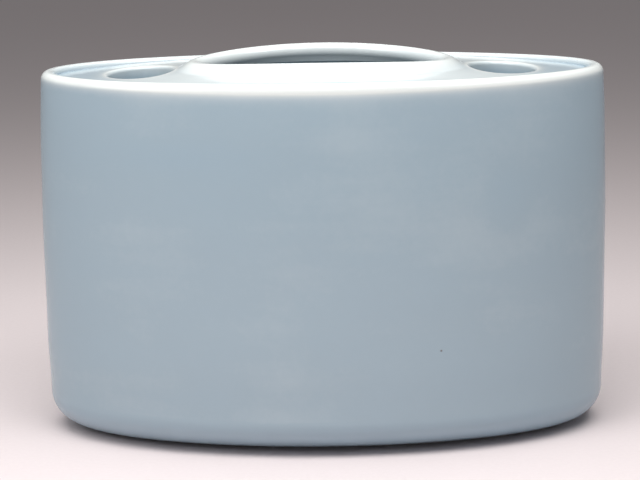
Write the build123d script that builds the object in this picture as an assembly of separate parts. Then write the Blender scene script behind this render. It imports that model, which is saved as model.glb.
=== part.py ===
"""An oval glazed porcelain brush pot: a wall on a floor slab, closed by a deck with three openings.

Frame: origin under the pot's middle where it stands, +X along the oval's long axis, +Y back, +Z up.
All sizes are in millimetres. Each oval is an ellipse whose half-axes are the pot's own less one inset,
so pieces that meet share the same inset.
"""

from build123d import *

import os

# Overall sizes
pot_length = 140.0
pot_depth = 68.0
rim_height = 90.4

# Wall and floor
wall_thickness = 5.0
floor_thickness = 6.0
heel_rounding = 8.4
foot_height = 0.8
foot_setback = 1.6  # flat left under the floor slab between the heel's rounding and the foot
foot_width = 4.5

# Rim: a rounded band outside the deck, which lies a little lower in a rebate of the wall's top
rim_band = 4.2
rim_rounding = 2.0
groove_depth = 1.1  # how far the deck lies below the rim
groove_side = 0.1  # upright stretch left beside the deck, under the rim's inner rounding

# Deck, and the clay coil it was laid on
deck_thickness = 5.5
ledge_width = 4.0
ledge_height = 4.0
floor_coil_size = 3.6
coil_edge = 0.6  # thickness left where a coil was smoothed out against the wall

# Openings: a wide oval mouth in the middle, with a narrow oval one at each end
deck_margin = 6.4  # deck left between the collar and the rim, front and back
end_margin = 13.1  # deck left between a side opening and the rim, at the pot's ends
side_opening_width = 16.2
side_opening_depth = 23.0
web = 2.4  # deck left between the collar and a side opening
side_opening_rounding = 1.0

# Collar: the raised lip round the mouth, a little lower at the pot's ends than at front and back
collar_width = 4.0
collar_height = 4.6
collar_crest = 0.6  # nearly flat stretch left along the crest, between its two roundings
collar_drop = 0.9  # how much lower its crest is at the ends
lip_depth = 3.0  # upright inner face of the lip, below which the mouth was pared back on a slope
mouth_undercut = 4.8  # how much further out the mouth reaches at the deck's underside

past = 1.0  # how far a trimming solid runs past what it trims

# Derived places
half_length = pot_length / 2
half_depth = pot_depth / 2
floor_top = foot_height + floor_thickness
deck_top = rim_height - groove_depth
deck_underside = deck_top - deck_thickness
foot_inset = heel_rounding + foot_setback
rim_inner_rounding = groove_depth - groove_side
collar_rounding = (collar_width - collar_crest) / 2
deck_half_length = half_length - rim_band
deck_half_depth = half_depth - rim_band
side_opening_half_width = side_opening_width / 2
side_opening_x = deck_half_length - end_margin - side_opening_half_width
side_opening_half_depth = side_opening_depth / 2
mouth_half_length = side_opening_x - side_opening_half_width - web - collar_width
mouth_half_depth = deck_half_depth - deck_margin - collar_width


def ellipse_prism(half_x, half_y, bottom, top, x=0.0):
    """An upright elliptical prism between two heights."""
    return Pos(x, 0, bottom) * extrude(Ellipse(half_x, half_y), top - bottom)


def oval(inset, bottom, top):
    """A prism of the pot's own oval, set in by inset, between two heights."""
    return ellipse_prism(half_length - inset, half_depth - inset, bottom, top)


def oval_ring(outer_inset, inner_inset, bottom, top):
    """A ring between two insets of the pot's oval."""
    return oval(outer_inset, bottom, top) - oval(inner_inset, bottom, top)


def oval_funnel(bottom_inset, top_inset, bottom, top):
    """A solid whose oval outline changes evenly from one inset to another between two heights."""
    lower = Pos(0, 0, bottom) * Ellipse(half_length - bottom_inset, half_depth - bottom_inset)
    upper = Pos(0, 0, top) * Ellipse(half_length - top_inset, half_depth - top_inset)
    return loft([lower, upper])


def edges_at(shape, height, largest):
    """The closed edges at one height: the largest one, or the others."""
    level = shape.edges().filter_by_position(Axis.Z, height - 0.001, height + 0.001)
    found = level.filter_by(lambda edge: edge.is_closed).sort_by(SortBy.LENGTH)
    return found[-1] if largest else found[:-1]


def body_block():
    """The pot's outside, solid: a rounded heel below, a rounded rim above."""
    block = oval(0, foot_height, rim_height)
    block = fillet(edges_at(block, foot_height, True), heel_rounding)
    return fillet(edges_at(block, rim_height, True), rim_rounding)


def floor_slab(block):
    """The slab that the wall stands on; the heel's rounding runs on into it."""
    return block & oval(-past, 0, floor_top)


def wall(block):
    """The oval wall, with a rebate in its top for the deck and a rounded rim band outside that."""
    shell = block & oval(-past, floor_top, rim_height + past)
    shell -= oval(wall_thickness, floor_top, deck_underside)
    shell -= oval(rim_band, deck_underside, rim_height)
    return fillet(edges_at(shell, rim_height, False), rim_inner_rounding)


def floor_coil():
    """The coil pressed into the corner between the wall and the floor slab, smoothed to a slope."""
    top = floor_top + floor_coil_size
    filled = oval(wall_thickness, floor_top, top)
    toe = wall_thickness + floor_coil_size
    return filled - oval_funnel(toe, wall_thickness + coil_edge, floor_top, top)


def deck_ledge():
    """The coil inside the wall that the deck was laid on, smoothed to a slope underneath."""
    bottom = deck_underside - ledge_height
    filled = oval(wall_thickness, bottom, deck_underside)
    lip = wall_thickness + ledge_width
    return filled - oval_funnel(wall_thickness + coil_edge, lip, bottom, deck_underside)


def undercut():
    """What was pared from under the mouth's lip, widening down to the deck's underside."""
    upper = Ellipse(mouth_half_length, mouth_half_depth)
    lower = Ellipse(mouth_half_length + mouth_undercut, mouth_half_depth + mouth_undercut)
    lip_bottom = deck_top + collar_height - lip_depth
    return loft([Pos(0, 0, lip_bottom) * upper, Pos(0, 0, deck_underside) * lower])


def deck():
    """The top plate, set into the rim band, with the mouth and the two side openings cut through."""
    plate = oval(rim_band, deck_underside, deck_top) - undercut()
    half_x, half_y = side_opening_half_width, side_opening_half_depth
    for side in (-1, 1):
        plate -= ellipse_prism(half_x, half_y, deck_underside, deck_top, side * side_opening_x)
    side_edges = edges_at(plate, deck_top, False).filter_by(
        lambda edge: abs(edge.center(CenterOf.BOUNDING_BOX).X) > half_x
    )
    return fillet(side_edges, side_opening_rounding)


def collar():
    """The raised lip luted on round the mouth, its crest falling gently towards the pot's ends."""
    outer_half_length = mouth_half_length + collar_width
    outer_half_depth = mouth_half_depth + collar_width
    crest = deck_top + collar_height
    ring = ellipse_prism(outer_half_length, outer_half_depth, deck_top, crest)
    ring -= ellipse_prism(mouth_half_length, mouth_half_depth, deck_top, crest)
    crown_radius = (outer_half_length**2 + collar_drop**2) / (2 * collar_drop)
    crown = Pos(0, 0, crest - crown_radius) * Rot(90, 0, 0) * Cylinder(crown_radius, pot_depth)
    ring &= crown
    top_edges = ring.edges().filter_by(lambda edge: edge.bounding_box().min.Z > deck_top + collar_drop)
    return fillet(top_edges, collar_rounding) - undercut()


def foot_ring():
    """The unglazed ring under the floor slab that the pot stands on."""
    return oval_ring(foot_inset, foot_inset + foot_width, 0, foot_height)


def main():
    block = body_block()
    pieces = {
        "wall": wall(block),
        "floor_slab": floor_slab(block),
        "foot_ring": foot_ring(),
        "floor_coil": floor_coil(),
        "deck_ledge": deck_ledge(),
        "deck": deck(),
        "mouth_collar": collar(),
    }
    os.makedirs("parts", exist_ok=True)
    for name, shape in pieces.items():
        export_step(shape, f"parts/{name}.step")


main()
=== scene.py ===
"""The looks of an oval celadon brush pot: glazed wall, floor, deck and mouth collar on a bare foot ring.

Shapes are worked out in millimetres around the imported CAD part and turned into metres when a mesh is
made. An inset is how much less than the pot's own half-axes an oval's half-axes are.
"""

import math

import bmesh
import bpy
import numpy as np
from mathutils import Matrix, Vector
from mathutils.geometry import delaunay_2d_cdt


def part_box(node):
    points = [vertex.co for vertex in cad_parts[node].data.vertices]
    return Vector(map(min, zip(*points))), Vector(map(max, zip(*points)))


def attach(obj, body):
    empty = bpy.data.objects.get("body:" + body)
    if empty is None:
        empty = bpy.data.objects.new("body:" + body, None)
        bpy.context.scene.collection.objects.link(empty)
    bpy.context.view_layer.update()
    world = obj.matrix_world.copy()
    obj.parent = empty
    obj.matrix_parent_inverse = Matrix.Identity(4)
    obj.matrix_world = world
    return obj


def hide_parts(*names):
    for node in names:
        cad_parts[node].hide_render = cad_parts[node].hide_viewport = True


MM = 0.001
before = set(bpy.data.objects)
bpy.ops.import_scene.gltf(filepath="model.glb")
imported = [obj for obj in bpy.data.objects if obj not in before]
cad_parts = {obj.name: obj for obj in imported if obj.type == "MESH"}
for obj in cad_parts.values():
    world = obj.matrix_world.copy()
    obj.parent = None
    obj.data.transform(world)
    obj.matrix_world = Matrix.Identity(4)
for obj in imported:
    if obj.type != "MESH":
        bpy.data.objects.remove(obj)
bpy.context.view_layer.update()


def top_corner(node):
    """A CAD node's highest corner in millimetres: its half-length, half-depth and top."""
    return [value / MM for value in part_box(node)[1]]


def underside(node):
    """The height of a CAD node's lowest point in millimetres."""
    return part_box(node)[0].z / MM


# Places that the CAD gives
HALF_LENGTH, HALF_DEPTH, RIM_TOP = top_corner("wall")
FLOOR_TOP = underside("wall")
SLAB_BOTTOM = underside("floor_slab")
DECK_HALF_LENGTH, DECK_HALF_DEPTH, DECK_TOP = top_corner("deck")
DECK_BOTTOM = underside("deck")
COLLAR_HALF_LENGTH, COLLAR_HALF_DEPTH, COLLAR_TOP = top_corner("mouth_collar")
LEDGE_BOTTOM = underside("deck_ledge")
COIL_TOP = top_corner("floor_coil")[2]
WALL = HALF_LENGTH - top_corner("deck_ledge")[0]
FOOT_INSET = HALF_LENGTH - top_corner("foot_ring")[0]
RIM_BAND = HALF_LENGTH - DECK_HALF_LENGTH

# Sizes of the clay that the CAD's boxes don't give
HEEL_ROUNDING = 8.4
HEEL_TOP = SLAB_BOTTOM + HEEL_ROUNDING
COLLAR_WIDTH = 4.0
SIDE_X = 44.6
SIDE_HALF_WIDTH = 8.1
SIDE_HALF_DEPTH = 11.5
SIDE_ROUNDING = 0.9
FOOT_WIDTH = 4.5
FOOT_EDGE = 0.2
COIL_WIDTH = 3.6
LEDGE_WIDTH = 4.0
COIL_EDGE = 0.6
MOUTH_UNDERCUT = 4.8

# Softer shapes that the glaze and the hand give the clay
HEEL_TUCK = 1.2  # how much further in the foot lies at the front and back than at the ends
BARREL_HEIGHT = 35.0  # where the wall is widest
BARREL_OUT = 0.3  # how far it stands out there
BARREL_IN = 0.8  # how far it draws in where the rim's rounding starts
BARREL_SHARPNESS = 2.6  # how late, going up, the wall draws in
BARREL_EASE = 14  # the height over which it swells out above the heel
RIM_START = 88.2
RIM_CREST = 90.35
RIM_ROUNDING = 1.8
RIM_FLAT = 0.5
DECK_LEVEL = 89.1
GROOVE_DEPTH = 0.15
GROOVE_WIDTH = 0.6
SLOPE_LENGTH = 4.6  # the steep part of the collar's side
SLOPE_SHARE = 0.6  # how much of the collar's height the steep part takes; a long sweep takes the rest
SWEEP_LENGTH = 11.0
END_SOFTENING = 0.15  # how much of the steep part is lost at the pot's ends
LIP_ROUNDING = 2.0
CREST_IN = 0.7  # how far the crest draws in at the pot's ends
CREST_DROP = 1.5  # how far it falls there
LIP_TURN = 126  # degrees that the mouth's inner lip is rounded through, from its crest to the undercut

# Half-axes of ovals round the mouth: the collar's seam with the deck, its crest, and the mouth's edge
# at the deck's underside
COLLAR = (COLLAR_HALF_LENGTH, COLLAR_HALF_DEPTH)
CREST = (COLLAR_HALF_LENGTH - LIP_ROUNDING - CREST_IN, COLLAR_HALF_DEPTH - LIP_ROUNDING)
MOUTH_BELOW = tuple(half - COLLAR_WIDTH + MOUTH_UNDERCUT for half in COLLAR)

# The waviness of hand work: how far it goes out or in, or up or down for the rim
TWO_SWELLS = 0.10
THREE_SWELLS = 0.07
RIPPLE = 0.03
RIM_WAVE = 0.12
RIM_WAVE_START = 12  # how far below the rim's top it starts
SKIN = (0.5, 5.0)  # insets between which the swells and the ripple die away

# How deep the glaze lies at a point: thin on edges, pooled in hollows. At the rim's ends and the deck's
# ends and webs it also carries painted shade
THIN, EVEN, POOLED = 0.0, 0.5, 1.0
HEEL_GLAZE = 0.62
HEEL_LOW_GLAZE = 0.8
WALL_FOOT_GLAZE = 0.52
CROWN_GLAZE = (0.05, 0.1)
RIM_INSIDE_GLAZE = (0.05, 0.3)
SEAT_GLAZE = 0.9
UNDER_GLAZE = (0.6, EVEN)  # from the heel inwards
FLOOR_EDGE_GLAZE = (EVEN, 0.8)  # from the wall inwards
FLOOR_GLAZE = 0.65
COIL_GLAZE = 0.6
MOUTH_GLAZE = (THIN, 0.3)
RIM_POOL = 0.45  # the glaze pooled beside the rim
RIM_POOL_WIDTH = 1.1
END_POOL_AND_SHADE = 0.27  # deeper, bluer glaze on the deck at the pot's ends: partly pooled glaze, partly painted shade and darker reflection
END_POOL_AND_SHADE_SPAN = (44, 58)
WEB_POOL_AND_SHADE = 0.12  # and on the webs between the openings: partly glaze pooled in the valleys, partly painted shade
WEB_X = 36
WEB_WIDTH = 2.5
LIP_THINNING = 0.25
LIP_THINNING_WIDTH = 0.7
DECK_GLAZE = 0.15
SIDE_LIP_GLAZE = 0.2  # for each radian that the lip has turned down
SIDE_WALL_GLAZE = ((2.0, 0.45), (3.5, 0.6))  # at two depths below the deck's top
END_SHADE_RISE = 1.2  # how much higher the pale band of thin glaze on the rim starts at the pot's ends: painted shade for the less-lit rim there
GLAZE_RECOVERY = 0.8  # how far below the rim the glaze gets even again

# Colours of glaze, from thin to even to pooled
SKY_BLUE = ((0.75, 0.78, 0.76), (0.342, 0.435, 0.497), (0.31, 0.43, 0.53))
INNER_BLUE = ((0.76, 0.79, 0.77), (0.50, 0.58, 0.62), (0.36, 0.47, 0.55))

# Places on the wall where the glaze lies a little deeper or thinner: centre, size and amount
CLOUDS = (
    ((-32, -31, 73), (26, 22, 7), 0.07),
    ((44, -27, 62), (9, 18, 13), 0.06),
    ((6, -34, 78), (20, 20, 5), -0.03),
)
SPECK = ((27.9, -31.0, 26.2), (0.45, 3.0, 0.4))  # the one dark speck: centre and size

# Points round the pot's ovals and round a side opening, and the width of the row of faces at a seam
AROUND = 640
AROUND_SIDE = 240
SEAM_ROW = 0.05


# ---------------------------------------------------------------- mesh helpers


def turn(count=AROUND):
    """Angles evenly round an oval."""
    return np.linspace(0, 2 * np.pi, count, endpoint=False)


def ellipse(half_x, half_y, count=AROUND, centre_x=0.0):
    """Points round an ellipse, as two columns."""
    angle = turn(count)
    return np.stack([centre_x + half_x * np.cos(angle), half_y * np.sin(angle)], axis=1)


def outside_of(half_x, half_y, xy, centre_x=0.0):
    """About how far points lie outside an ellipse, measured square to it. Inside it is below zero."""
    x, y = xy[:, 0] - centre_x, xy[:, 1]
    reach = np.maximum(np.hypot(x / half_x, y / half_y), 1e-6)
    steepness = np.hypot(x / half_x**2, y / half_y**2) / reach
    return (reach - 1) / np.maximum(steepness, 1e-6)


def ease(value, low, high):
    """0 below low and 1 above high, with a smooth turn between them."""
    t = np.clip((value - low) / (high - low), 0, 1)
    return t * t * (3 - 2 * t)


def arc(centre_inset, centre_z, radius, start, end, steps):
    """Points (inset, z) along an arc. At 0 degrees it faces the pot's outside and at 90 it faces up."""
    angles = np.radians(np.linspace(start, end, steps))
    return np.stack([centre_inset - radius * np.cos(angles), centre_z + radius * np.sin(angles)], axis=1)


def line(start, end, steps=2):
    """Points (inset, z) along a straight line, with both its ends."""
    return np.linspace(start, end, steps)


class Shell:
    """One closed skin of clay, put together from rings of points, each with its depth of glaze."""

    def __init__(self):
        self.points, self.glaze, self.faces = [], [], []

    def add(self, xy, z, glaze):
        """Adds points at a height, or at a height each, and returns their numbers."""
        first = len(self.points)
        xyz = np.column_stack([xy, np.broadcast_to(z, len(xy))])
        self.points.extend(xyz)
        self.glaze.extend(np.broadcast_to(glaze, len(xy)))
        return np.arange(first, first + len(xy))

    def strip(self, low, high):
        """Joins two rings of as many points."""
        self.faces += list(zip(low, np.roll(low, -1), np.roll(high, -1), high))

    def carry(self, ring, outline, z, glaze):
        """Joins a ring to a new one on this outline, and returns the new one."""
        following = self.add(outline, z, glaze)
        self.strip(ring, following)
        return following

    def cap(self, ring, z, glaze):
        """Closes a ring with a point in its middle."""
        middle = self.add(np.zeros((1, 2)), z, glaze)[0]
        self.faces += [(a, b, middle) for a, b in zip(ring, np.roll(ring, -1))]

    def rings(self, profile, glaze):
        """Carries (inset, z) points round the pot, with a glaze depth for each. Returns the rings."""
        made = []
        for (inset, z), depth in zip(profile, glaze):
            made.append(self.add(ellipse(HALF_LENGTH - inset, HALF_DEPTH - inset), z, depth))
        for low, high in zip(made, made[1:]):
            self.strip(low, high)
        return made

    def sheet(self, loops, inside, spacing, height, glaze):
        """Fills the flat region between loops of points with triangles. Returns the loops' numbers.

        inside says how far points are inside the region, and height and glaze are functions of xy."""
        reach = np.abs(loops[0]).max(axis=0)
        rows = np.arange(-reach[1], reach[1], spacing * math.sqrt(3) / 2)
        columns = np.arange(-reach[0], reach[0], spacing)
        shift = np.where(np.arange(len(rows)) % 2, spacing / 2, 0)
        grid = np.array([(x + s, y) for y, s in zip(rows, shift) for x in columns])
        grid = grid[inside(grid) > spacing / 2]
        xy = np.concatenate(loops + [grid])
        found = delaunay_2d_cdt([Vector(p) for p in xy], loop_edges(loops), [], 0, 1e-6)
        triangles = np.array(found[2])
        middles = np.array([tuple(p) for p in found[0]])[triangles].mean(axis=1)
        numbers = self.add(xy, height(xy), glaze(xy))
        self.faces += [tuple(numbers[t]) for t in triangles[inside(middles) > 0]]
        starts = np.cumsum([0] + [len(loop) for loop in loops])
        return [numbers[a:b] for a, b in zip(starts, starts[1:])]

    def piece(self, name, material, crease=35):
        """Makes the mesh that stands for the CAD node of the same name and rides on the pot."""
        mesh = bpy.data.meshes.new(name)
        mesh.from_pydata([Vector(p) * MM for p in self.points], [], [list(map(int, f)) for f in self.faces])
        depth = mesh.attributes.new("glaze_depth_and_shade", "FLOAT", "POINT")
        depth.data.foreach_set("value", np.array(self.glaze, np.float32))
        work = bmesh.new()
        work.from_mesh(mesh)
        bmesh.ops.recalc_face_normals(work, faces=work.faces)
        work.to_mesh(mesh)
        work.free()
        mesh.shade_smooth()
        mesh.set_sharp_from_angle(angle=math.radians(crease))
        mesh.materials.append(material)
        made = bpy.data.objects.new(name + "_glazed", mesh)
        bpy.context.scene.collection.objects.link(made)
        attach(made, "root")
        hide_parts(name)
        return made


def loop_edges(loops):
    """The edges round each of several loops of points, numbered one after another."""
    edges, first = [], 0
    for loop in loops:
        count = len(loop)
        edges += [(first + i, first + (i + 1) % count) for i in range(count)]
        first += count
    return edges


def between(first, last, count):
    """Glaze depths that change evenly along a stretch."""
    return np.linspace(first, last, count)


# ---------------------------------------------------------------- the pot's shapes


def by_hand(points):
    """Gives the outer skin the slight waviness of hand work, and tucks the heel and the foot in at the
    front and back. The inside above the floor stays true, and so does the plane the pot stands on."""
    x, y, z = points.T
    angle = np.arctan2(y / HALF_DEPTH, x / HALF_LENGTH)
    inset = HALF_LENGTH - np.hypot(x, y * HALF_LENGTH / HALF_DEPTH)
    skin = 1 - ease(inset, *SKIN)
    slow = TWO_SWELLS * np.sin(2 * angle + 0.6 + z / 60) + THREE_SWELLS * np.sin(3 * angle - 1.1 - z / 35)
    ripple = RIPPLE * np.sin(z / 4.1 + 2.2 * np.sin(angle + 0.4)) * np.sin(5 * angle + 1.3)
    tuck = HEEL_TUCK * (1 - np.cos(angle) ** 4) * ease(FLOOR_TOP - z, 0, FLOOR_TOP - SLAB_BOTTOM)
    out = skin * (slow + ripple) - tuck
    near_rim = ease(z, RIM_TOP - RIM_WAVE_START, RIM_TOP) * (1 - ease(inset, 4.5, 6.0))
    lift = RIM_WAVE * np.sin(2 * angle + 2.0) * near_rim
    normal = np.stack([np.cos(angle) * HALF_DEPTH, np.sin(angle) * HALF_LENGTH], axis=1)
    normal /= np.linalg.norm(normal, axis=1)[:, None]
    return np.column_stack([points[:, :2] + normal * out[:, None], z + lift])


def heel(start, end, steps):
    """A stretch of the heel's rounding, between two heights."""
    angles = [math.degrees(math.asin((z - HEEL_TOP) / HEEL_ROUNDING)) for z in (start, end)]
    return arc(HEEL_ROUNDING, HEEL_TOP, HEEL_ROUNDING, *angles, steps)


def wall(glaze):
    """The wall: up the outside from its seam with the floor, over the rim band and down the inside."""
    seam = heel(FLOOR_TOP, FLOOR_TOP + SEAM_ROW, 2)
    foot = heel(FLOOR_TOP + SEAM_ROW, HEEL_TOP, 8)[1:]
    side = line((0, HEEL_TOP), (0, RIM_START), 150)[1:]
    up = np.maximum(side[:, 1] - BARREL_HEIGHT, 0) / (RIM_START - BARREL_HEIGHT)
    swell = BARREL_OUT * ease(side[:, 1], HEEL_TOP, HEEL_TOP + BARREL_EASE)
    side[:, 0] = (BARREL_OUT + BARREL_IN) * up**BARREL_SHARPNESS - swell
    rise = RIM_CREST - RIM_START
    rim = arc(RIM_ROUNDING, 0, RIM_ROUNDING, 0, 90, 20)[1:]
    rim = np.column_stack([rim[:, 0] + side[-1, 0], RIM_START + rim[:, 1] * rise / RIM_ROUNDING])
    crown_end = rim[-1, 0] + RIM_FLAT
    crown = line((rim[-1, 0], RIM_CREST), (crown_end, RIM_CREST), 4)[1:]
    inwards = RIM_BAND - crown_end
    inner = arc(0, 0, inwards, 90, 180, 14)[1:]
    inner_z = RIM_CREST + (inner[:, 1] / inwards - 1) * (RIM_CREST - DECK_LEVEL)
    inner = np.column_stack([crown_end + inner[:, 0], inner_z])
    seat = line(inner[-1], (RIM_BAND, DECK_BOTTOM), 6)[1:]
    inside = line((WALL, DECK_BOTTOM), (WALL, FLOOR_TOP), 40)
    # painted shade: the rim's pale band starts higher towards the pot's ends, so the rim looks darker there
    pale_rim_from = RIM_START + END_SHADE_RISE * np.cos(turn()) ** 2
    below = [np.maximum(pale_rim_from - z, 0) for z in (*side[:, 1], *rim[:, 1])]
    depth = [HEEL_GLAZE, HEEL_GLAZE, *between(HEEL_GLAZE, WALL_FOOT_GLAZE, len(foot))]
    depth += [EVEN * (1 - np.exp(-drop / GLAZE_RECOVERY)) for drop in below]
    depth += [*between(*CROWN_GLAZE, len(crown)), *between(*RIM_INSIDE_GLAZE, len(inner))]
    depth += [SEAT_GLAZE] * len(seat) + [EVEN] * len(inside)
    shell = Shell()
    profile = np.concatenate([seam, foot, side, rim, crown, inner, seat, inside])
    rings = shell.rings(profile, depth)
    shell.strip(rings[-1], rings[0])
    shell.points = list(by_hand(np.array(shell.points)))
    return shell.piece("wall", glaze)


def floor_slab(glaze):
    """The slab: down the rest of the heel from the seam, in under the pot, and its top inside."""
    seam = heel(FLOOR_TOP, FLOOR_TOP - SEAM_ROW, 2)
    turn_in = heel(FLOOR_TOP - SEAM_ROW, SLAB_BOTTOM, 28)[1:]
    under = line((HEEL_ROUNDING, SLAB_BOTTOM), (FOOT_INSET + FOOT_WIDTH + 3, SLAB_BOTTOM), 8)[1:]
    inwards = line((seam[0, 0], FLOOR_TOP), (FOOT_INSET + FOOT_WIDTH, FLOOR_TOP), 8)[1:]
    depth = [HEEL_GLAZE, HEEL_GLAZE, *between(HEEL_GLAZE, HEEL_LOW_GLAZE, len(turn_in))]
    depth += [*between(*UNDER_GLAZE, len(under))]
    shell = Shell()
    outside = shell.rings(np.concatenate([seam, turn_in, under]), depth)
    top = shell.rings(inwards, between(*FLOOR_EDGE_GLAZE, len(inwards)))
    shell.strip(outside[0], top[0])
    for ring, z, depth in ((outside[-1], SLAB_BOTTOM, EVEN), (top[-1], FLOOR_TOP, FLOOR_GLAZE)):
        shape = np.array([shell.points[i][:2] for i in ring])
        for share in np.linspace(0.85, 0.1, 6):
            inner = shell.add(shape * share, z, depth)
            shell.strip(ring, inner)
            ring = inner
        shell.cap(ring, z, depth)
    shell.points = list(by_hand(np.array(shell.points)))
    return shell.piece("floor_slab", glaze)


def foot_ring(clay):
    """The bare ring the pot stands on, its edges sponged round."""
    outer, inner = FOOT_INSET, FOOT_INSET + FOOT_WIDTH
    profile = np.concatenate(
        [
            line((outer, SLAB_BOTTOM), (outer, FOOT_EDGE), 3),
            arc(outer + FOOT_EDGE, FOOT_EDGE, FOOT_EDGE, 0, -90, 6)[1:],
            line((outer + FOOT_EDGE, 0), (inner - FOOT_EDGE, 0), 10)[1:],
            arc(inner - FOOT_EDGE, FOOT_EDGE, FOOT_EDGE, -90, -180, 6)[1:],
            line((inner, FOOT_EDGE), (inner, SLAB_BOTTOM), 3)[1:],
        ]
    )
    shell = Shell()
    rings = shell.rings(profile, np.full(len(profile), EVEN))
    shell.strip(rings[-1], rings[0])
    shell.points = list(by_hand(np.array(shell.points)))
    return shell.piece("foot_ring", clay)


def smoothed_coil(name, glaze, wall_end, wide_end, corner):
    """A coil smoothed out by a thumb: a hollow curve from a thin edge on the wall to its wide end."""
    hollow = 0.4
    t = np.linspace(0, 1, 14)[:, None]
    start, end = np.array(wall_end), np.array(wide_end)
    pull = (start + end) / 2 * (1 - hollow) + np.array(corner) * hollow
    curve = (1 - t) ** 2 * start + 2 * t * (1 - t) * pull + t**2 * end
    profile = np.concatenate([curve, [corner], [(corner[0], wall_end[1])]])
    shell = Shell()
    rings = shell.rings(profile, np.full(len(profile), COIL_GLAZE))
    shell.strip(rings[-1], rings[0])
    return shell.piece(name, glaze)


def floor_coil(glaze):
    """The coil in the corner between the wall and the floor."""
    wall_end = (WALL + COIL_EDGE, COIL_TOP)
    wide_end = (WALL + COIL_WIDTH, FLOOR_TOP)
    return smoothed_coil("floor_coil", glaze, wall_end, wide_end, (WALL, FLOOR_TOP))


def deck_ledge(glaze):
    """The coil under the deck's edge."""
    wall_end = (WALL + COIL_EDGE, LEDGE_BOTTOM)
    wide_end = (WALL + LEDGE_WIDTH, DECK_BOTTOM)
    return smoothed_coil("deck_ledge", glaze, wall_end, wide_end, (WALL, DECK_BOTTOM))


def endwards(xy):
    """1 for points towards the pot's ends and 0 for points towards its front and back."""
    return np.cos(np.arctan2(xy[:, 1] / CREST[1], xy[:, 0] / CREST[0])) ** 2


def crest_height(xy):
    """The collar's height at its crest nearest to points: it falls a little towards the pot's ends."""
    return COLLAR_TOP - CREST_DROP * endwards(xy)


def deck_height(xy):
    """The pot's top inside the rim: from the collar's crest, an S-shaped slope and a long sweep down to
    the deck, which dips a little beside the rim."""
    out = np.maximum(outside_of(*CREST, xy), 0)
    slope = (1 + np.cos(np.pi * np.clip(out / SLOPE_LENGTH, 0, 1))) / 2
    sweep = np.exp(-(out**2) / ((out + 3) * SWEEP_LENGTH))
    steep = SLOPE_SHARE * (1 - END_SOFTENING * endwards(xy))
    share = steep * slope + (1 - steep) * sweep
    from_rim = np.maximum(-outside_of(DECK_HALF_LENGTH, DECK_HALF_DEPTH, xy), 0)
    dip = GROOVE_DEPTH * np.exp(-((from_rim / GROOVE_WIDTH) ** 1.5))
    return DECK_LEVEL + (crest_height(xy) - DECK_LEVEL) * share - dip


def deck_glaze_and_shade(xy):
    """The glaze on the top: pooled beside the rim, thin at the openings' lips and the crest, and deeper and
    bluer at the pot's ends and on the webs between the openings, partly pooled glaze and partly painted
    shade."""
    from_crest = np.maximum(outside_of(*CREST, xy), 0)
    from_rim = -outside_of(DECK_HALF_LENGTH, DECK_HALF_DEPTH, xy)
    lip = (SIDE_HALF_WIDTH + SIDE_ROUNDING, SIDE_HALF_DEPTH + SIDE_ROUNDING)
    from_side = np.minimum(*[outside_of(*lip, xy, s * SIDE_X) for s in (-1, 1)])
    pooled = RIM_POOL * np.exp(-from_rim / RIM_POOL_WIDTH)
    # partly painted shade: the deck turns bluer towards the pot's ends
    ends = END_POOL_AND_SHADE * ease(np.abs(xy[:, 0]), *END_POOL_AND_SHADE_SPAN)
    # partly painted shade: the deck is bluer on the webs between the openings
    across = np.exp(-(((np.abs(xy[:, 0]) - WEB_X) / WEB_WIDTH) ** 2))
    web = WEB_POOL_AND_SHADE * across * ease(-np.abs(xy[:, 1]), -14, -4)
    thin = LIP_THINNING * np.exp(-np.maximum(from_side, 0) / LIP_THINNING_WIDTH)
    level = DECK_GLAZE * ease(from_crest, 0.5, 4)
    return np.clip(level + pooled + ends + web - thin, THIN, POOLED)


def mouth_side():
    """The mouth's inner side under its rounded lip, as rings (outline, heights) from the crest down to
    the deck's top."""
    high = crest_height(ellipse(*CREST))
    for angle in np.radians(np.linspace(0, LIP_TURN, 26))[1:]:
        inwards = LIP_ROUNDING * math.sin(angle)
        drop = LIP_ROUNDING * (1 - math.cos(angle))
        yield ellipse(CREST[0] - inwards, CREST[1] - inwards), high - drop
    share = (DECK_TOP - DECK_BOTTOM) / (high.mean() - drop - DECK_BOTTOM)
    seat = [below - (inwards + below - middle) * share for below, middle in zip(MOUTH_BELOW, CREST)]
    yield ellipse(*seat), np.full(AROUND, DECK_TOP)


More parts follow.
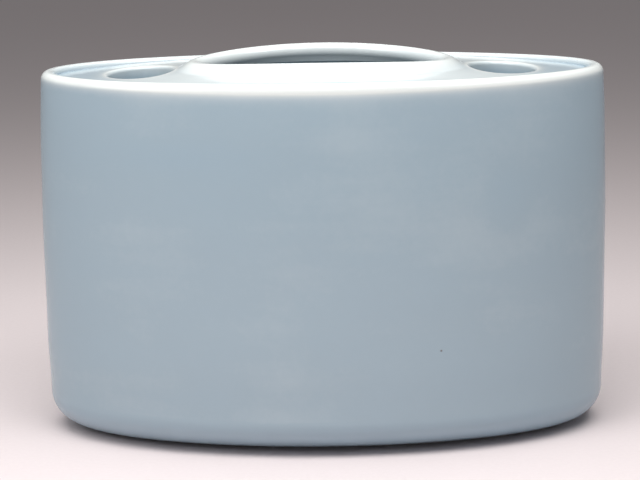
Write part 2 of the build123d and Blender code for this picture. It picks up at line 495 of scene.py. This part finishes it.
def deck(glaze):
    """The deck: its top up to the collar's seam, its openings and its underside."""
    shell = Shell()
    side = (SIDE_HALF_WIDTH, SIDE_HALF_DEPTH)
    lip = (SIDE_HALF_WIDTH + SIDE_ROUNDING, SIDE_HALF_DEPTH + SIDE_ROUNDING)
    edge = (DECK_HALF_LENGTH, DECK_HALF_DEPTH)

    def region(opening, middle):
        """How far points are inside the deck, with these half-axes for its side openings and middle."""

        def inside(xy):
            sides = [outside_of(*opening, xy, s * SIDE_X) for s in (-1, 1)]
            return np.min([-outside_of(*edge, xy), outside_of(*middle, xy), *sides], axis=0)

        return inside

    def loops(opening, middle):
        """The deck's outline and the outlines of its middle and side openings."""
        sides = [ellipse(*opening, AROUND_SIDE, s * SIDE_X) for s in (-1, 1)]
        return [ellipse(*edge), ellipse(*middle), *sides]

    def flat(xy):
        """The height of the deck's underside."""
        return np.full(len(xy), DECK_BOTTOM)

    def even_glaze(xy):
        """The glaze on the deck's underside."""
        return np.full(len(xy), EVEN)

    top = shell.sheet(loops(lip, COLLAR), region(lip, COLLAR), 0.6, deck_height, deck_glaze_and_shade)
    low = shell.sheet(loops(side, MOUTH_BELOW), region(side, MOUTH_BELOW), 3.0, flat, even_glaze)
    shell.strip(top[0], low[0])

    ring = shell.carry(top[1], ellipse(*COLLAR), DECK_TOP, EVEN)
    ring = shell.carry(ring, *list(mouth_side())[-1], EVEN)
    shell.strip(ring, low[1])

    for s, ring, low_ring in ((-1, top[2], low[2]), (1, top[3], low[3])):
        lip_height = deck_height(ellipse(*lip, AROUND_SIDE, s * SIDE_X))
        for angle in np.radians(np.linspace(0, 90, 12))[1:]:
            out = SIDE_ROUNDING * (1 - math.sin(angle))
            outline = ellipse(side[0] + out, side[1] + out, AROUND_SIDE, s * SIDE_X)
            drop = SIDE_ROUNDING * (1 - math.cos(angle))
            ring = shell.carry(ring, outline, lip_height - drop, SIDE_LIP_GLAZE * angle)
        for below, depth in SIDE_WALL_GLAZE:
            ring = shell.carry(ring, outline, DECK_TOP - below, depth)
        shell.strip(ring, low_ring)
    return shell.piece("deck", glaze)


def mouth_collar(glaze):
    """The collar: its outer side, its rounded crest and its undercut inner side."""
    shell = Shell()
    start = ring = shell.add(ellipse(*COLLAR), DECK_TOP, EVEN)
    for inwards in np.linspace(0, LIP_ROUNDING, 12):
        outline = ellipse(COLLAR[0] - inwards, COLLAR[1] - inwards)
        ring = shell.carry(ring, outline, deck_height(outline), deck_glaze_and_shade(outline))
    sides = list(mouth_side())
    for (outline, height), depth in zip(sides, between(*MOUTH_GLAZE, len(sides))):
        ring = shell.carry(ring, outline, height, depth)
    shell.strip(ring, start)
    return shell.piece("mouth_collar", glaze)


# ---------------------------------------------------------------- materials


def node(tree, kind, inputs=(), **settings):
    """Adds a shader node. inputs pairs each socket, by name or number, with a value or another socket."""
    made = tree.nodes.new(kind)
    for key, value in settings.items():
        setattr(made, key, value)
    for socket, value in dict(inputs).items():
        if isinstance(value, bpy.types.NodeSocket):
            tree.links.new(value, made.inputs[socket])
        else:
            made.inputs[socket].default_value = value
    return made


def maths(tree, operation, *values):
    """A maths node's result."""
    return node(tree, "ShaderNodeMath", dict(enumerate(values)), operation=operation).outputs[0]


def ramp(tree, factor, stops):
    """A colour ramp's colour. stops are (position, (red, green, blue))."""
    made = node(tree, "ShaderNodeValToRGB", {"Fac": factor})
    band = made.color_ramp
    while len(band.elements) < len(stops):
        band.elements.new(0.5)
    for element, (position, colour) in zip(band.elements, stops):
        element.position = position
        element.color = (*colour, 1)
    return made.outputs["Color"]


def noise(tree, place, scale, detail=3.0, roughness=0.5):
    """A noise texture's value, about 0.5 on average."""
    inputs = {"Vector": place, "Scale": scale, "Detail": detail, "Roughness": roughness}
    return node(tree, "ShaderNodeTexNoise", inputs).outputs["Fac"]


def stretched(tree, place, scale):
    """Object coordinates stretched by a scale along each axis."""
    return node(tree, "ShaderNodeMapping", {"Vector": place, "Scale": scale}).outputs["Vector"]


def patch(tree, place, centre, size):
    """1 at a place on the pot, falling to 0 over a size along each axis. Both are in millimetres."""
    inputs = {
        "Vector": place,
        "Location": [-c / s for c, s in zip(centre, size)],
        "Scale": [1 / (s * MM) for s in size],
    }
    local = node(tree, "ShaderNodeMapping", inputs).outputs["Vector"]
    length = node(tree, "ShaderNodeVectorMath", {0: local}, operation="LENGTH").outputs["Value"]
    inputs = {"Value": length, "From Min": 0.0, "From Max": 1.0, "To Min": 1.0, "To Max": 0.0}
    return node(tree, "ShaderNodeMapRange", inputs, interpolation_type="SMOOTHSTEP").outputs["Result"]


def new_material(name):
    """An empty material with one Principled shader."""
    material = bpy.data.materials.new(name)
    material.use_nodes = True
    tree = material.node_tree
    return material, tree, tree.nodes["Principled BSDF"]


def glaze_material(name, thin, even, pooled):
    """Pale blue glaze over white clay: its colour follows how deep it lies, with slight clouding; the depth
    also carries painted shade in places.
    """
    material, tree, shader = new_material(name)
    place = node(tree, "ShaderNodeTexCoord").outputs["Object"]
    depth = node(tree, "ShaderNodeAttribute", attribute_name="glaze_depth_and_shade").outputs["Fac"]
    clouds = maths(tree, "SUBTRACT", noise(tree, place, 28.0, 2.0), 0.5)
    streaks = maths(tree, "SUBTRACT", noise(tree, stretched(tree, place, (18, 18, 130)), 1.0, 3.0), 0.5)
    mottle = maths(tree, "SUBTRACT", noise(tree, place, 420.0, 4.0, 0.6), 0.5)
    depth = maths(tree, "MULTIPLY_ADD", clouds, 0.16, depth)
    depth = maths(tree, "MULTIPLY_ADD", streaks, 0.10, depth)
    depth = maths(tree, "MULTIPLY_ADD", mottle, 0.05, depth)
    for centre, size, amount in CLOUDS:
        depth = maths(tree, "MULTIPLY_ADD", patch(tree, place, centre, size), amount, depth)
    colour = ramp(tree, depth, [(THIN, thin), (EVEN, even), (POOLED, pooled)])
    speck = patch(tree, place, *SPECK)
    inputs = {"Factor": speck, "A": colour, "B": (0.12, 0.09, 0.07, 1)}
    tree.links.new(mix_colour(tree, inputs), shader.inputs["Base Color"])
    shader.inputs["Roughness"].default_value = 0.12
    shader.inputs["IOR"].default_value = 1.5
    ripple = noise(tree, place, 55.0, 1.0)
    peel = noise(tree, place, 900.0, 2.0)
    height = maths(tree, "MULTIPLY_ADD", peel, 0.03, ripple)
    bump = node(tree, "ShaderNodeBump", {"Height": height, "Strength": 0.12, "Distance": 0.0015})
    tree.links.new(bump.outputs["Normal"], shader.inputs["Normal"])
    return material


def mix_colour(tree, inputs):
    """Mixes two colours, A and B."""
    made = tree.nodes.new("ShaderNodeMix")
    made.data_type = "RGBA"
    sockets = {"Factor": made.inputs[0], "A": made.inputs[6], "B": made.inputs[7]}
    for key, value in inputs.items():
        if isinstance(value, bpy.types.NodeSocket):
            tree.links.new(value, sockets[key])
        else:
            sockets[key].default_value = value
    return made.outputs[2]


def bare_clay_material():
    """Fired porcelain clay with no glaze: off-white, matt, faintly toasted and grainy."""
    material, tree, shader = new_material("bare_clay")
    place = node(tree, "ShaderNodeTexCoord").outputs["Object"]
    toast = noise(tree, place, 60.0, 4.0)
    colour = ramp(tree, toast, [(0.3, (0.78, 0.73, 0.66)), (0.7, (0.70, 0.60, 0.49))])
    tree.links.new(colour, shader.inputs["Base Color"])
    shader.inputs["Roughness"].default_value = 0.85
    grain = noise(tree, place, 2500.0, 3.0, 0.7)
    bump = node(tree, "ShaderNodeBump", {"Height": grain, "Strength": 0.3, "Distance": 0.0002})
    tree.links.new(bump.outputs["Normal"], shader.inputs["Normal"])
    return material


def table_material():
    """Plain matt off-white paper with a faint fibre."""
    material, tree, shader = new_material("paper")
    place = node(tree, "ShaderNodeTexCoord").outputs["Object"]
    fibre = noise(tree, place, 900.0)
    colour = ramp(tree, fibre, [(0.3, (0.755, 0.67, 0.667)), (0.7, (0.775, 0.69, 0.687))])
    tree.links.new(colour, shader.inputs["Base Color"])
    shader.inputs["Roughness"].default_value = 0.9
    return material


# ---------------------------------------------------------------- table, light and camera


def table():
    """A large plain floor for the pot to stand on."""
    half = 4.0
    mesh = bpy.data.meshes.new("table")
    corners = [(-half, -half, 0), (half, -half, 0), (half, half, 0), (-half, half, 0)]
    mesh.from_pydata(corners, [], [(0, 1, 2, 3)])
    mesh.materials.append(table_material())
    floor = bpy.data.objects.new("table", mesh)
    bpy.context.scene.collection.objects.link(floor)


def soft_light(name, place, aim, size, power):
    """A rectangular soft light. Places are in metres and power is in watts."""
    data = bpy.data.lights.new(name, "AREA")
    data.shape = "RECTANGLE"
    data.size, data.size_y = size
    data.energy = power
    light = bpy.data.objects.new(name, data)
    light.location = place
    light.rotation_euler = (Vector(aim) - Vector(place)).to_track_quat("-Z", "Y").to_euler()
    bpy.context.scene.collection.objects.link(light)


def lights():
    """Soft light from above and a little in front, some from behind, and faint light from all round."""
    soft_light("above_front", (0.0, -0.14, 0.32), (0, -0.07, 0), (0.42, 0.16), 1.18)
    soft_light("above_back", (0.0, 0.05, 0.40), (0, 0.03, 0), (0.60, 0.20), 0.65)
    soft_light("left", (-0.35, -0.25, 0.35), (0, 0, 0.02), (0.30, 0.30), 0.55)
    world = bpy.data.worlds.new("room")
    world.use_nodes = True
    background = world.node_tree.nodes["Background"]
    background.inputs["Color"].default_value = (0.97, 0.98, 1.0, 1)
    background.inputs["Strength"].default_value = 0.22
    bpy.context.scene.world = world


def camera():
    """The camera, a little above the rim and square to the pot's front, rolled very slightly."""
    azimuth, elevation, roll = (math.radians(a) for a in (0.998, 12.323, -0.943))
    target = Vector((-0.992, 0, 46.62)) * MM
    distance = 476.95 * MM
    level = math.cos(elevation)
    back = Vector((math.sin(azimuth) * level, -math.cos(azimuth) * level, math.sin(elevation)))
    right = (-back).cross(Vector((0, 0, 1))).normalized()
    up = right.cross(-back)
    rolled_right = right * math.cos(roll) + up * math.sin(roll)
    rolled_up = up * math.cos(roll) - right * math.sin(roll)
    data = bpy.data.cameras.new("camera")
    data.sensor_width = 36.0
    data.lens = 106.74
    data.clip_start, data.clip_end = 0.05, 20
    made = bpy.data.objects.new("camera", data)
    turned = Matrix((rolled_right, rolled_up, back)).transposed().to_4x4()
    made.matrix_world = Matrix.Translation(target + back * distance) @ turned
    bpy.context.scene.collection.objects.link(made)
    bpy.context.scene.camera = made


def main():
    outer = glaze_material("sky_blue_glaze", *SKY_BLUE)
    inner = glaze_material("inner_glaze", *INNER_BLUE)
    clay = bare_clay_material()
    wall(outer)
    floor_slab(outer)
    deck(outer)
    mouth_collar(outer)
    floor_coil(inner)
    deck_ledge(inner)
    foot_ring(clay)
    table()
    lights()
    camera()
    bpy.context.scene.view_settings.view_transform = "Standard"


main()
